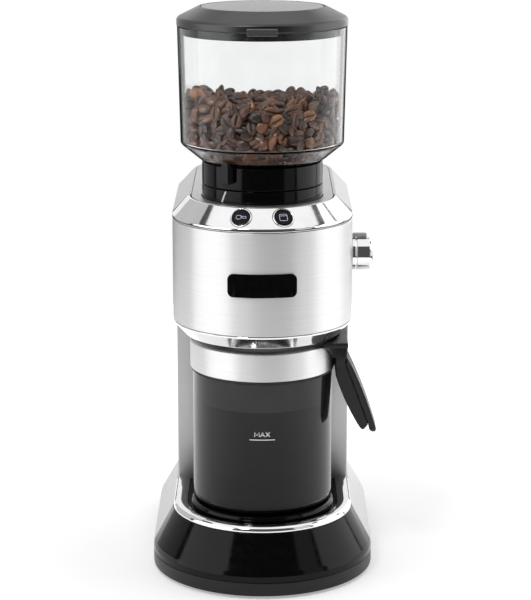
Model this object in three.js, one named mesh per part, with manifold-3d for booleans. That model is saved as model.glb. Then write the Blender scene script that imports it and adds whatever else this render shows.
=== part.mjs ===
// Slim conical-burr coffee grinder. Millimetres, +Z up, the front faces -Y.
// The origin is the middle of the footprint, on the surface that the grinder stands on. Heights in this
// file count from a datum plane STAND above that surface, and the whole grinder is raised by STAND.
// In plan the body is a stadium: two half circles about a front and a rear axis, joined by straight sides.
// Burrs, bean hopper and grounds jar all share the front axis.
import * as THREE from "three";
import { mergeVertices } from "three/addons/utils/BufferGeometryUtils.js";
import Module from "manifold-3d";

// ---------------------------------------------------------------- driving dimensions
const STAND = 9.8; // from the worktop to the datum plane
const LID_TOP = 385;
const AXIS_SPAN = 105; // between the front and the rear axis of the stadium plan
const BASE_R = 77.5; // half the width at the foot band
const BODY_R = 62; // half the width of head and column
const FRONT = -AXIS_SPAN / 2; // y of the front axis
const WALL = 2.5; // moulded shell wall
const GAP = 0.3; // between pieces that touch
const ARC = 18; // flats in half a turn of the large curves

const PAN_Z = 2 - STAND; // underside of the base pan
const BAND_Z = 1.6; // top of the foot band
const SHOULDER_Z = 32.5; // top of the sloping skirt
const SHOULDER_R = 63.3;
const TRIM_Z = 37.2; // top of the chrome base trim
const TRAY_Z = 34.5; // tray floor surface
const PLATFORM_R = 50.4;
const JAR_Z = 39.8; // underside of the jar
const JAR_R = 48.8;
const JAR_WALL = 2.2;
const JAR_TOP = 133.8;
const JAR_SKIRT = 112.8; // lower edge of the jar lid's skirt, inside the wall
const RING_R = 50.5; // steel ring at the mouth of the jar
const RING_TOP = 155;
const LIP_Z = 160.3; // lower edge of the head
const LIP_R = 54;
const HEAD_Z = 170; // lower edge of the steel front cover
const BAND_LOW = 241; // lower edge of the control band
const CHAMFER_Z = 244; // where the sloping band begins
const DECK_Z = 256; // flat top of the head
const DECK_R = 50.8;
const NECK_R = 41.5;
const NECK_TOP = 264.7;
const COLLAR_TOP = 280.6;
const HOPPER_R = 55.8; // outer radius above the funnel
const HOPPER_TOP_R = 57.6;
const HOPPER_LOW = 281;
const HOPPER_SHOULDER = 293;
const HOPPER_TOP = 372;
const LID_R = 58;
const BEANS_TOP = 327;
const COLUMN_Y = -1.2; // front face of the column
const KNOB = { y: FRONT + 22, z: 210, r: 11.8, length: 15 };
const BUTTON = { x: 14, r: 6, ring: 7.15 };
const FOOT = { x: 45, y: 90, r: 9 };

// Gear train, from the burr shaft back to the motor: module and tooth counts of both stages.
const SLOW = { module: 2, wheel: 36, pinion: 14, low: 176.5, high: 184.5 };
const FAST = { module: 1.5, wheel: 52, pinion: 12, low: 187, high: 194 };
const pitchRadius = (stage, gear) => (stage.module * stage[gear]) / 2;
const IDLER_Y = FRONT + pitchRadius(SLOW, "wheel") + pitchRadius(SLOW, "pinion");
const MOTOR_Y = IDLER_Y + pitchRadius(FAST, "wheel") + pitchRadius(FAST, "pinion");

// ---------------------------------------------------------------- materials
const finish = (color, roughness, metalness) =>
  new THREE.MeshStandardMaterial({ color, roughness, metalness });
const MATERIAL = {
  brushedSteel: finish(0xc9cbcc, 0.32, 1),
  chrome: finish(0xe6e8ea, 0.08, 1),
  silver: finish(0xc2c4c6, 0.38, 0.85),
  glossBlack: finish(0x08080a, 0.12, 0),
  satinBlack: finish(0x141416, 0.42, 0),
  rubber: finish(0x1b1b1c, 0.8, 0),
  clear: new THREE.MeshStandardMaterial({ color: 0xf2f6f8, roughness: 0.04, transparent: true, opacity: 0.3 }),
  smoke: new THREE.MeshStandardMaterial({ color: 0x2c2c2e, roughness: 0.05, transparent: true, opacity: 0.75 }),
  bean: finish(0x4a2a18, 0.45, 0),
  steel: finish(0x9a9c9f, 0.3, 1),
  brass: finish(0xc0a060, 0.35, 1),
  whitePlastic: finish(0xd8d8d2, 0.5, 0),
  board: finish(0x1d5a34, 0.5, 0),
};

// ---------------------------------------------------------------- solids
const wasm = await Module();
wasm.setup();

// A closed three.js geometry as a solid.
function solid(geometry) {
  const bare = new THREE.BufferGeometry();
  const loose = geometry.index ? geometry.toNonIndexed() : geometry;
  bare.setAttribute("position", loose.getAttribute("position"));
  const merged = mergeVertices(bare, 1e-4);
  return new wasm.Manifold(
    new wasm.Mesh({
      numProp: 3,
      vertProperties: merged.getAttribute("position").array,
      triVerts: new Uint32Array(merged.index.array),
    }),
  );
}

// A solid as a geometry with flat faces.
function geometryOf(body) {
  const mesh = body.getMesh();
  const geometry = new THREE.BufferGeometry();
  geometry.setAttribute("position", new THREE.BufferAttribute(mesh.vertProperties, 3));
  geometry.setIndex(new THREE.BufferAttribute(mesh.triVerts, 1));
  geometry.computeVertexNormals();
  return geometry;
}

// Box between two corners.
function block([x0, y0, z0], [x1, y1, z1]) {
  const box = new THREE.BoxGeometry(x1 - x0, y1 - y0, z1 - z0);
  return solid(box.translate((x0 + x1) / 2, (y0 + y1) / 2, (z0 + z1) / 2));
}

// Solid of revolution about Z. The profile is a list of [radius, z]: it runs from the axis to the axis,
// or closes on itself, anticlockwise with the radius to the right.
function turned(profile, segments = 2 * ARC) {
  const points = profile.map(([r, z]) => new THREE.Vector2(r, z));
  if (profile[0][0] > 0) points.push(points[0].clone());
  return solid(new THREE.LatheGeometry(points, segments).rotateX(Math.PI / 2));
}

// Cylinder about Z through (x, y).
function rod(r, z0, z1, x = 0, y = 0, segments = 24) {
  const cylinder = new THREE.CylinderGeometry(r, r, z1 - z0, segments).rotateX(Math.PI / 2);
  return solid(cylinder.translate(x, y, (z0 + z1) / 2));
}

// Straight extrusion of a flat outline along Z.
function prism(shape, z0, z1, curveSegments = ARC / 2) {
  const options = { depth: z1 - z0, bevelEnabled: false, curveSegments };
  return solid(new THREE.ExtrudeGeometry(shape, options).translate(0, 0, z0));
}

function polygon(points) {
  return new THREE.Shape(points.map(([x, y]) => new THREE.Vector2(x, y)));
}

function stadium(r) {
  const shape = new THREE.Shape();
  shape.absarc(0, -FRONT, r, 0, Math.PI);
  shape.absarc(0, FRONT, r, Math.PI, 2 * Math.PI);
  return shape;
}

function rectangle(width, height) {
  const [x, y] = [width / 2, height / 2];
  return polygon([[-x, -y], [x, -y], [x, y], [-x, y]]);
}

function roundedRectangle(width, height, r) {
  const shape = new THREE.Shape();
  const x = width / 2 - r;
  const y = height / 2 - r;
  shape.absarc(x, y, r, 0, Math.PI / 2);
  shape.absarc(-x, y, r, Math.PI / 2, Math.PI);
  shape.absarc(-x, -y, r, Math.PI, 1.5 * Math.PI);
  shape.absarc(x, -y, r, 1.5 * Math.PI, 2 * Math.PI);
  return shape;
}

// A closed profile of [radius, z] carried round the stadium plan.
function swept(profile) {
  const positions = [];
  const indices = [];
  const round = 2 * (ARC + 1);
  for (const [r, z] of profile)
    for (let i = 0; i < round; i++) {
      const rear = i <= ARC;
      const angle = (Math.PI * (rear ? i : i - 1)) / ARC;
      positions.push(r * Math.cos(angle), (rear ? -FRONT : FRONT) + r * Math.sin(angle), z);
    }
  profile.forEach((_, j) => {
    const low = j * round;
    const high = ((j + 1) % profile.length) * round;
    for (let i = 0; i < round; i++) {
      const next = (i + 1) % round;
      indices.push(low + i, low + next, high + next, low + i, high + next, high + i);
    }
  });
  const geometry = new THREE.BufferGeometry();
  geometry.setAttribute("position", new THREE.Float32BufferAttribute(positions, 3));
  geometry.setIndex(indices);
  return solid(geometry);
}

const FAR = 400;
const ahead = (y) => block([-FAR, -FAR, -FAR], [FAR, y, FAR]); // everything in front of y
const behind = (y) => block([-FAR, y, -FAR], [FAR, FAR, FAR]); // everything behind y

// Spur gear about Z with straight-sided teeth. The centre of tooth 0 lies at angle `phase`.
function spurGear(module, teeth, low, high, phase, bore) {
  const pitch = (module * teeth) / 2;
  const backlash = 0.12 * module;
  const root = pitch - 1.15 * module;
  const tip = pitch + 0.85 * module;
  const half = Math.PI * module * 0.25 - backlash; // half a tooth's width on the pitch circle
  const corners = [
    [root, half + 0.38 * module],
    [tip, half - 0.36 * module],
  ];
  const points = [];
  for (let tooth = 0; tooth < teeth; tooth++) {
    const centre = phase + (2 * Math.PI * tooth) / teeth;
    const flank = corners.map(([r, w]) => [r, w / r]);
    for (const [r, w] of flank) points.push([r * Math.cos(centre - w), r * Math.sin(centre - w)]);
    for (const [r, w] of flank.reverse())
      points.push([r * Math.cos(centre + w), r * Math.sin(centre + w)]);
  }
  return prism(polygon(points), low, high).subtract(rod(bore, low - 1, high + 1));
}

// Spiral cutting ridges on the flanks of a burr: a wave added to the radius between two radii.
function ridged(body, teeth, depth, twist, [rLow, rHigh]) {
  const geometry = geometryOf(body);
  const position = geometry.getAttribute("position");
  for (let i = 0; i < position.count; i++) {
    const [x, y, z] = [position.getX(i), position.getY(i), position.getZ(i)];
    const r = Math.hypot(x, y);
    if (r < rLow || r > rHigh) continue;
    const scale = 1 + (depth / r) * Math.cos(teeth * Math.atan2(y, x) + twist * z);
    position.setXY(i, x * scale, y * scale);
  }
  return solid(geometry);
}

// ---------------------------------------------------------------- scene graph
const grinder = new THREE.Group();
grinder.position.z = STAND;
const frontAxis = new THREE.Group();
frontAxis.position.set(0, FRONT, 0);
grinder.add(frontAxis);

function place(parent, name, material, body) {
  const mesh = new THREE.Mesh(geometryOf(body), material);
  mesh.name = name;
  parent.add(mesh);
  return mesh;
}

// ---------------------------------------------------------------- base
const FEET = {
  foot_front_left: [-FOOT.x, -FOOT.y],
  foot_front_right: [FOOT.x, -FOOT.y],
  foot_rear_left: [-FOOT.x, FOOT.y],
  foot_rear_right: [FOOT.x, FOOT.y],
};

function buildBase() {
  const floor = PAN_Z + WALL;
  let pan = prism(stadium(BASE_R), PAN_Z, BAND_Z);
  pan = pan.subtract(prism(stadium(BASE_R - 3), floor, BAND_Z + 1));
  for (const [x, y] of Object.values(FEET)) pan = pan.subtract(rod(3.3, PAN_Z - 1, floor + 1, x, y, 14));
  place(grinder, "base_pan", MATERIAL.satinBlack, pan);

  // Each foot is a rubber disc whose stem snaps through the pan.
  const foot = turned(
    [[0, -STAND], [FOOT.r - 0.4, -STAND], [FOOT.r, 0.8 - STAND], [FOOT.r, PAN_Z - GAP], [3, PAN_Z - GAP],
      [3, floor + GAP], [4.2, floor + GAP], [3, floor + 2.1], [0, floor + 2.1]],
    14,
  );
  for (const [name, [x, y]] of Object.entries(FEET))
    place(grinder, name, MATERIAL.rubber, foot).position.set(x, y, 0);

  // The skirt slopes up from the foot band to the shoulder. A leaning seam parts front from rear.
  const slope = swept([
    [BASE_R, BAND_Z + GAP], [BASE_R, BAND_Z + 4.4], [BASE_R - 0.8, BAND_Z + 7.4], [SHOULDER_R, SHOULDER_Z],
    [SHOULDER_R - 3, SHOULDER_Z], [BASE_R - 3.9, BAND_Z + 6.8], [BASE_R - 3, BAND_Z + GAP],
  ]);
  const lean = Math.atan2(8.5, SHOULDER_Z - BAND_Z);
  const frontOfSeam = (shift) => {
    const box = new THREE.BoxGeometry(FAR, FAR, FAR).translate(0, -FAR / 2, 0).rotateX(-lean);
    return solid(box.translate(0, FRONT + shift, SHOULDER_Z));
  };
  place(grinder, "base_skirt", MATERIAL.glossBlack, slope.intersect(frontOfSeam(-GAP)));
  place(grinder, "base_rear_flare", MATERIAL.silver, slope.subtract(frontOfSeam(GAP)));

  const trim = swept([
    [SHOULDER_R - 0.2, SHOULDER_Z + GAP], [SHOULDER_R - 0.3, SHOULDER_Z + 1.4],
    [SHOULDER_R - 0.9, SHOULDER_Z + 2.7], [SHOULDER_R - 2.2, TRIM_Z - 0.7],
    [59.2, TRIM_Z - 0.2], [57.8, TRIM_Z], [56.4, TRIM_Z - 0.2], [53.4, TRIM_Z - 1.3], [53, TRIM_Z - 1.7],
    [53, TRAY_Z + GAP], [57, TRAY_Z + GAP], [58.4, SHOULDER_Z + GAP],
  ]);
  place(grinder, "base_trim", MATERIAL.chrome, trim.intersect(ahead(COLUMN_Y - GAP)));

  const tray = prism(stadium(56.2), TRAY_Z - 3, TRAY_Z).intersect(ahead(COLUMN_Y - GAP));
  place(grinder, "tray_floor", MATERIAL.glossBlack, tray);

  const top = JAR_Z - 0.4;
  place(frontAxis, "jar_platform", MATERIAL.glossBlack, turned([
    [0, TRAY_Z + GAP], [PLATFORM_R - 0.4, TRAY_Z + GAP], [PLATFORM_R, TRAY_Z + 1.4],
    [PLATFORM_R, top - 2.2], [PLATFORM_R - 0.8, top - 0.6], [PLATFORM_R - 2, top], [0, top],
  ]));
}

// ---------------------------------------------------------------- column and head shells
const GLAND_Z = 50;
const SWITCH = { y: BODY_R - FRONT - 3, z: 72, x: 11.5, h: 8 };

function shellRing(outer, inner, low, high) {
  return prism(stadium(outer), low, high).subtract(prism(stadium(inner), low - 1, high + 1));
}

function buildShells() {
  const rear = BODY_R - FRONT;
  let column = shellRing(BODY_R, BODY_R - WALL, SHOULDER_Z + GAP, HEAD_Z - 0.1);
  column = column.intersect(behind(COLUMN_Y + WALL + GAP));
  const glandHole = new THREE.CylinderGeometry(6.3, 6.3, 20, 20).translate(0, rear, GLAND_Z);
  column = column.subtract(solid(glandHole));
  column = column.subtract(block(
    [-SWITCH.x + 2.1, rear - 10, SWITCH.z - SWITCH.h + 1.6],
    [SWITCH.x - 2.1, rear + 5, SWITCH.z + SWITCH.h - 1.6],
  ));
  place(grinder, "column_shell", MATERIAL.silver, column);

  place(grinder, "column_front", MATERIAL.silver, block(
    [-BODY_R + 0.1, COLUMN_Y, SHOULDER_Z + GAP + 0.1],
    [BODY_R - 0.1, COLUMN_Y + WALL, LIP_Z - 0.4],
  ));

  let head = shellRing(BODY_R, BODY_R - WALL, HEAD_Z + GAP, CHAMFER_Z - GAP);
  head = head.intersect(behind(FRONT + 0.6));
  const shaftHole = new THREE.CylinderGeometry(3.6, 3.6, 20, 16).rotateZ(Math.PI / 2);
  head = head.subtract(solid(shaftHole.translate(BODY_R, KNOB.y, KNOB.z)));
  place(grinder, "head_shell", MATERIAL.silver, head);

  // Brushed sheet rolled round the front of the head.
  const sheet = shellRing(BODY_R, BODY_R - 1, HEAD_Z + GAP, BAND_LOW - 0.1);
  place(grinder, "front_cover", MATERIAL.brushedSteel, sheet.intersect(ahead(FRONT)));

  // Blank name plate, curved like the cover that it sits on.
  const outline = new THREE.ExtrudeGeometry(roundedRectangle(47, 16, 4), {
    depth: BODY_R + 8, bevelEnabled: false, curveSegments: 4,
  });
  const plateCut = solid(outline.rotateX(Math.PI / 2).translate(0, FRONT, 205.2));
  const plate = shellRing(BODY_R + 1.2, BODY_R + GAP, 190, 225).intersect(plateCut);
  place(grinder, "badge_plate", MATERIAL.satinBlack, plate);

  // The sloping lip under the head carries its own floor, open where the grounds drop through.
  const cone = swept([
    [LIP_R - 2, LIP_Z], [LIP_R, LIP_Z], [LIP_R + 0.6, LIP_Z + 0.6], [BODY_R - 0.4, HEAD_Z - 1.3],
    [BODY_R, HEAD_Z - 0.1], [BODY_R - WALL, HEAD_Z - 0.1], [LIP_R - 0.6, LIP_Z + 3.2],
    [LIP_R - 2, LIP_Z + 3.2],
  ]);
  const floor = prism(stadium(LIP_R - 1), LIP_Z + 1.2, LIP_Z + 3.2);
  const opening = block([-12.5, FRONT - 48, LIP_Z - 1], [12.5, FRONT - 26, LIP_Z + 5]);
  const lip = cone.add(floor).intersect(ahead(COLUMN_Y + WALL - 0.1)).subtract(opening);
  place(grinder, "lower_lip", MATERIAL.chrome, lip);
}

// ---------------------------------------------------------------- top of the head
// The sloping band and the rear of the deck share one slope.
const SLOPE_DR = BODY_R - 0.8 - DECK_R;
const SLOPE_DZ = DECK_Z - CHAMFER_Z - 0.4;
const TILT = Math.atan2(SLOPE_DR, SLOPE_DZ); // how far the band leans back from upright
const BAND_MID_R = (BODY_R - 0.8 + DECK_R) / 2;
const BAND_MID_Z = (CHAMFER_Z + 0.4 + DECK_Z) / 2;

// A frame whose origin lies on the band at x, with +Z pointing straight out of it.
function bandFrame(x) {
  const azimuth = Math.asin(x / BAND_MID_R);
  const frame = new THREE.Group();
  frame.position.set(x, FRONT - BAND_MID_R * Math.cos(azimuth), BAND_MID_Z);
  frame.rotation.set(Math.PI / 2 - TILT, 0, azimuth, "ZXY");
  frame.updateMatrix();
  grinder.add(frame);
  return frame;
}

function buildTop() {
  let band = swept([
    [BODY_R - 2, BAND_LOW + GAP], [BODY_R, BAND_LOW + GAP], [BODY_R, CHAMFER_Z - 0.6],
    [BODY_R - 0.8, CHAMFER_Z + 0.4], [DECK_R, DECK_Z], [DECK_R - 1.2, DECK_Z],
    [DECK_R - 1.2, DECK_Z - 1.4], [BODY_R - 3, CHAMFER_Z - 0.6],
  ]).intersect(ahead(FRONT - GAP));
  for (const side of [-1, 1]) {
    const frame = bandFrame(side * BUTTON.x);
    const hole = new THREE.CylinderGeometry(7.45, 7.45, 20, 20).rotateX(Math.PI / 2);
    band = band.subtract(solid(hole.applyMatrix4(frame.matrix)));
    const hand = side < 0 ? "left" : "right";
    place(frame, "button_ring_" + hand, MATERIAL.chrome, turned(
      [[6.3, -2.4], [BUTTON.ring, -2.4], [BUTTON.ring, 0.3], [6.8, 0.8], [6.3, 0.6]], 20));
    place(frame, "button_" + hand, MATERIAL.satinBlack, turned(
      [[0, -7.4], [1.8, -7.4], [1.8, -3.2], [BUTTON.r, -3.2], [BUTTON.r, 0.2], [0, 0.5]], 20));
  }
  place(grinder, "control_band", MATERIAL.chrome, band);

  // Circuit board behind the buttons, with one push switch under each stem.
  const board = bandFrame(0);
  let circuit = block([-22, -7, -13.2], [22, 7, -11.6]);
  for (const x of [-12.3, 12.3]) circuit = circuit.add(block([x - 3, -3, -12], [x + 3, 3, -10.6]));
  place(board, "control_board", MATERIAL.board, circuit);

  const plate = prism(stadium(DECK_R - 2.2), DECK_Z - WALL, DECK_Z);
  const chamfer = swept([
    [BODY_R - 3, CHAMFER_Z], [BODY_R, CHAMFER_Z], [BODY_R - 0.8, CHAMFER_Z + 0.8], [DECK_R, DECK_Z],
    [DECK_R - 4, DECK_Z], [DECK_R - 4, DECK_Z - WALL], [DECK_R - 2, DECK_Z - WALL],
  ]).intersect(behind(FRONT + 1));
  const deck = plate.add(chamfer).subtract(rod(NECK_R + 0.4, DECK_Z - 5, DECK_Z + 5, 0, FRONT, 2 * ARC));
  place(grinder, "top_deck", MATERIAL.silver, deck);
}

// ---------------------------------------------------------------- grinding works
const CHAMBER = { r: 40, low: 200, top: 245.5, floor: 3.5 };

function buildWorks() {
  place(frontAxis, "neck", MATERIAL.glossBlack, turned([
    [36, CHAMBER.top + 0.5], [NECK_R, CHAMBER.top + 0.5], [NECK_R, NECK_TOP - 0.4],
    [NECK_R - 0.4, NECK_TOP], [36, NECK_TOP],
  ]));

  const { r, low, top, floor } = CHAMBER;
  let chamber = turned([
    [10.3, low], [r, low], [r, top], [r - 3, top], [r - 3, low + floor], [10.3, low + floor],
  ]);
  chamber = chamber.subtract(block([-9, -r - 2, low + 4.5], [9, -r + 8, low + 14]));
  place(frontAxis, "grinding_chamber", MATERIAL.whitePlastic, chamber);

  // The chute leaves the chamber forwards, drops past the gears and slants back over the jar.
  const route = new THREE.CatmullRomCurve3([
    new THREE.Vector3(0, -r - 1.7, low + 9), new THREE.Vector3(0, -r - 6, low + 7.4),
    new THREE.Vector3(0, -r - 8.6, low - 2), new THREE.Vector3(0, -r - 8.6, low - 20),
    new THREE.Vector3(0, -r - 5.4, low - 29), new THREE.Vector3(0, -r + 3, low - 35.5),
    new THREE.Vector3(0, -r + 6, low - 41),
  ]);
  const section = rectangle(19, 9.6);
  section.holes.push(rectangle(16.2, 6.8));
  const chute = new THREE.ExtrudeGeometry(section, { steps: 12, extrudePath: route });
  place(frontAxis, "grounds_chute", MATERIAL.satinBlack, solid(chute));

  let chassis = prism(stadium(BODY_R - 3.2), HEAD_Z + 1, HEAD_Z + 4.5);
  chassis = chassis.subtract(rod(8.3, HEAD_Z, HEAD_Z + 6, 0, FRONT));
  chassis = chassis.subtract(rod(3.2, HEAD_Z, HEAD_Z + 6, 0, IDLER_Y));
  chassis = chassis.subtract(rod(6, HEAD_Z, HEAD_Z + 6, 0, MOTOR_Y));
  chassis = chassis.subtract(block([-12, FRONT - 56, HEAD_Z], [12, FRONT - 36, HEAD_Z + 6]));
  place(grinder, "chassis_plate", MATERIAL.whitePlastic, chassis);

  const bearing = (outer, z0, z1) =>
    turned([[4.3, z0], [outer, z0], [outer, z1], [4.3, z1]], 20);
  place(frontAxis, "burr_bearing", MATERIAL.steel, bearing(10, low - 0.2, low + 5));
  place(frontAxis, "shaft_bearing", MATERIAL.brass, bearing(8, HEAD_Z + 1, HEAD_Z + 5));
  place(frontAxis, "burr_shaft", MATERIAL.steel, turned([
    [0, HEAD_Z + 1], [4, HEAD_Z + 1], [4, 234.8], [0, 234.8],
  ], 20));
  const slow = { m: SLOW.module, z0: SLOW.low, z1: SLOW.high };
  place(frontAxis, "burr_gear", MATERIAL.whitePlastic,
    spurGear(slow.m, SLOW.wheel, slow.z0, slow.z1, Math.PI / 2, 4.3));

  // The idler carries the wheel of the fast stage and the pinion of the slow one on a fixed axle.
  const idler = new THREE.Group();
  idler.position.set(0, IDLER_Y, 0);
  grinder.add(idler);
  const toothGap = -Math.PI / 2 + Math.PI / SLOW.pinion;
  const smallGear = spurGear(slow.m, SLOW.pinion, slow.z0, FAST.low + 0.5, toothGap, 3.15);
  const largeGear = spurGear(FAST.module, FAST.wheel, FAST.low, FAST.high, Math.PI / 2, 3.15);
  place(idler, "idler_gear", MATERIAL.whitePlastic, smallGear.add(largeGear));
  place(idler, "idler_axle", MATERIAL.steel, turned([
    [0, HEAD_Z - 2], [5, HEAD_Z - 2], [5, HEAD_Z + 0.7], [2.9, HEAD_Z + 0.7], [2.9, FAST.high + 2],
    [0, FAST.high + 2],
  ], 20));

  const motor = new THREE.Group();
  motor.position.set(0, MOTOR_Y, 0);
  grinder.add(motor);
  const fastGap = -Math.PI / 2 + Math.PI / FAST.pinion;
  place(motor, "motor_pinion", MATERIAL.brass,
    spurGear(FAST.module, FAST.pinion, FAST.low, FAST.high, fastGap, 2.5));
  place(motor, "motor_rotor", MATERIAL.steel, turned([
    [0, 78], [2.2, 78], [2.2, 95], [18, 95], [18, 150], [2.2, 150], [2.2, FAST.high + 1],
    [0, FAST.high + 1],
  ], 24));
  place(motor, "motor_can", MATERIAL.steel, turned([
    [4, 82], [30, 82], [30, 166], [4, 166], [4, 163.6], [27.6, 163.6], [27.6, 84.4], [4, 84.4],
  ]));
}

function buildBurrs() {
  // Both burrs are hardened steel cones with spiral ridges. The upper one can be screwed up and down.
  const lower = turned([
    [4.4, 207], [22, 207], [22, 209], [18.5, 215], [14, 224], [8.6, 234.4], [4.4, 234.4],
  ], 48);
  place(frontAxis, "lower_burr", MATERIAL.steel, ridged(lower, 12, 0.9, 0.12, [8, 21]));
  const upper = turned([
    [24, 214], [26, 214], [26, 240.5], [13, 240.5], [18, 227],
  ], 60);
  place(frontAxis, "upper_burr", MATERIAL.steel, ridged(upper, 20, 0.6, -0.1, [13.5, 22]));
  place(frontAxis, "burr_carrier", MATERIAL.satinBlack, turned([
    [26.4, 216], [34, 216], [34, 246], [22, 246], [22, 241.2], [26.4, 241.2],
  ]));
}

// ---------------------------------------------------------------- adjusting ring, hopper and lid
function buildHopper() {
  place(frontAxis, "adjust_ring", MATERIAL.glossBlack, turned([
    [32.5, 250], [35.6, 250], [35.6, NECK_TOP + 0.6], [NECK_R - 0.2, NECK_TOP + 0.6],
    [NECK_R - 0.2, COLLAR_TOP - 0.8], [NECK_R - 1, COLLAR_TOP], [32.5, COLLAR_TOP],
  ]));

  // Pointer fin, to the left of the front, standing off the ring.
  const azimuth = -31 * (Math.PI / 180);
  const fin = polygon([[NECK_R + 0.1, 270], [47.6, 270], [48.6, 271], [48.6, 285], [NECK_R + 0.1, 280.6]]);
  const slab = new THREE.ExtrudeGeometry(fin, { depth: 5, bevelEnabled: false });
  slab.translate(0, 0, -2.5).rotateX(Math.PI / 2).rotateZ(azimuth - Math.PI / 2);
  place(frontAxis, "ring_pointer", MATERIAL.satinBlack, solid(slab));

  place(frontAxis, "hopper", MATERIAL.clear, turned([
    [28, 253], [30, 253], [30, HOPPER_LOW], [41, HOPPER_LOW], [43.4, HOPPER_LOW + 1.4],
    [HOPPER_R - 1, HOPPER_SHOULDER - 1.2], [HOPPER_R, HOPPER_SHOULDER], [HOPPER_TOP_R, HOPPER_TOP],
    [HOPPER_TOP_R - 2.2, HOPPER_TOP], [HOPPER_R - 2.2, HOPPER_SHOULDER + 1],
    [HOPPER_R - 3.4, HOPPER_SHOULDER], [41.5, HOPPER_LOW + 2.8], [28, HOPPER_LOW + 1.4],
  ]));

  const clear = 0.5;
  place(frontAxis, "coffee_beans", MATERIAL.bean, turned([
    [0, 257], [28 - clear, 257], [28 - clear, HOPPER_LOW + 2.2], [41.2, HOPPER_LOW + 3.6],
    [HOPPER_R - 3.8, HOPPER_SHOULDER + 0.8], [HOPPER_R - 2.8, HOPPER_SHOULDER + 2],
    [HOPPER_R - 2.3, BEANS_TOP - 3], [30, BEANS_TOP + 1], [0, BEANS_TOP - 1],
  ]));

  let lid = turned([
    [52.4, 366.6], [54.2, 366.6], [54.2, HOPPER_TOP + 0.4], [LID_R, HOPPER_TOP + 0.4],
    [LID_R, HOPPER_TOP + 4.6], [LID_R - 1.2, HOPPER_TOP + 6.2], [44, LID_TOP - 0.4],
    [43, LID_TOP], [42.2, LID_TOP], [42.2, LID_TOP - 2.2], [39.5, LID_TOP - 2.2], [39.5, LID_TOP - 3.6],
    [52.4, HOPPER_TOP + 3],
  ]);
  lid = lid.add(block([-10, -60.6, HOPPER_TOP + 0.5], [10, -56, HOPPER_TOP + 3.4]));
  lid = lid.add(block([-10, -60.6, HOPPER_TOP - 1.6], [10, -58.2, HOPPER_TOP + 1]));
  place(frontAxis, "lid_frame", MATERIAL.satinBlack, lid);
  place(frontAxis, "lid_window", MATERIAL.clear, turned([
    [0, LID_TOP - 1.8], [41.8, LID_TOP - 1.8], [41.8, LID_TOP - 0.5], [41.3, LID_TOP - 0.1],
    [0, LID_TOP - 0.1],
  ]));
}

// ---------------------------------------------------------------- grounds jar
function buildJar() {
  const inner = JAR_R - JAR_WALL;
  place(frontAxis, "jar", MATERIAL.smoke, turned([
    [0, JAR_Z], [44, JAR_Z], [47.2, JAR_Z + 1.4], [JAR_R - 0.2, JAR_Z + 4], [JAR_R, JAR_Z + 6],
    [JAR_R, JAR_TOP], [inner, JAR_TOP], [inner, JAR_Z + 7], [inner - 1.4, JAR_Z + 3.8],
    [inner - 4, JAR_Z + 2.8], [0, JAR_Z + 2.8],
  ]));
  place(frontAxis, "jar_gasket", MATERIAL.rubber, turned([
    [inner + 0.1, JAR_TOP + GAP], [49.8, JAR_TOP + GAP], [49.8, JAR_TOP + 1.7], [inner + 0.1, JAR_TOP + 1.7],
  ]));
  place(frontAxis, "jar_ring", MATERIAL.brushedSteel, turned([
    [49.2, JAR_TOP + 2], [RING_R - 0.3, JAR_TOP + 2], [RING_R, JAR_TOP + 2.4], [RING_R, RING_TOP - 0.5],
    [RING_R - 0.5, RING_TOP], [46.5, RING_TOP], [46.5, RING_TOP - 0.7], [49.2, RING_TOP - 0.7],
  ]));
  // Lid of the jar, with a wide mouth under the chute and a skirt down inside the wall.
  place(frontAxis, "jar_lid", MATERIAL.satinBlack, turned([
    [44, JAR_SKIRT], [46.2, JAR_SKIRT], [46.2, JAR_TOP + 2.3], [48.8, JAR_TOP + 2.3], [48.8, RING_TOP - 1],
    [38, RING_TOP - 1], [38, RING_TOP - 3.2], [44, RING_TOP - 3.2],
  ]));
  buildHandle();
}

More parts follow.
